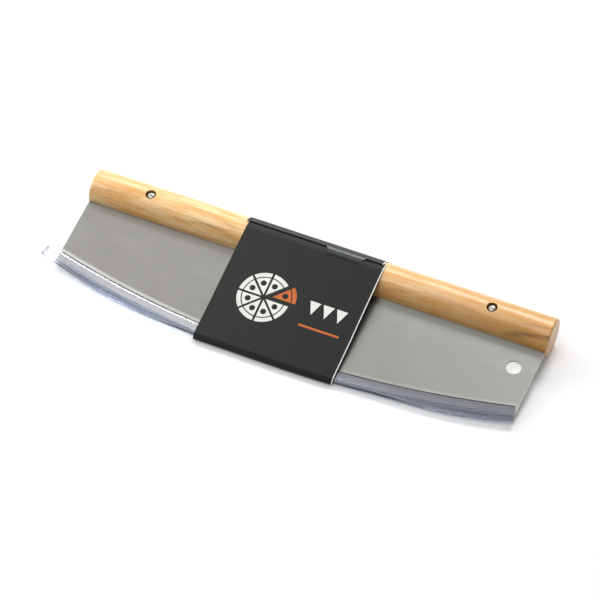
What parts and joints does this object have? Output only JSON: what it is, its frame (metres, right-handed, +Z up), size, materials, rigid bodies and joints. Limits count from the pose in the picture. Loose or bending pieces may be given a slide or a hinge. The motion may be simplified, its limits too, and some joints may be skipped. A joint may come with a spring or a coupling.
{
  "type": "rocking pizza knife",
  "caption": "Rocking pizza knife: a long curved steel blade in a round wooden bar handle, with a clear slide-on edge guard and a printed card sleeve round its middle.",
  "frame": {"origin": "bottom centre of the whole object's box, on the surface that the sleeve's back panel lies on", "axes": "+X along the handle towards the hang hole, cutting edge facing -Y, +Z up from the surface"},
  "size_m": [0.3602, 0.1056, 0.0295],
  "materials": {
    "wood": "oiled rubberwood, satin",
    "steel": "rolled stainless sheet, satin",
    "rivet_plating": "bright nickel plating on steel",
    "clear_plastic": "clear soft PVC with a blue tint",
    "card": "printed dark grey outside, bare grey-brown board inside, white cut edges, matt"
  },
  "bodies": {
    "knife": {"handle": "wood", "blade": "steel", "left_rivet_shank_half": "rivet_plating", "left_rivet_barrel_half": "rivet_plating", "right_rivet_shank_half": "rivet_plating", "right_rivet_barrel_half": "rivet_plating"},
    "guard": {"edge_guard": "clear_plastic"},
    "sleeve": {"card_sleeve": "card"}
  },
  "joints": [
    {"name": "guard_slide", "type": "hinge", "parent": "knife", "child": "guard", "pos_m": [0.00512, 0.66974, 0.09775], "axis": [0, 0.1311, -0.9914], "range_deg": [0, 27]},
    {"name": "sleeve_slide", "type": "slide", "parent": "knife", "child": "sleeve", "axis": [1, 0, 0], "range_m": [0, 0.235]}
  ]
}
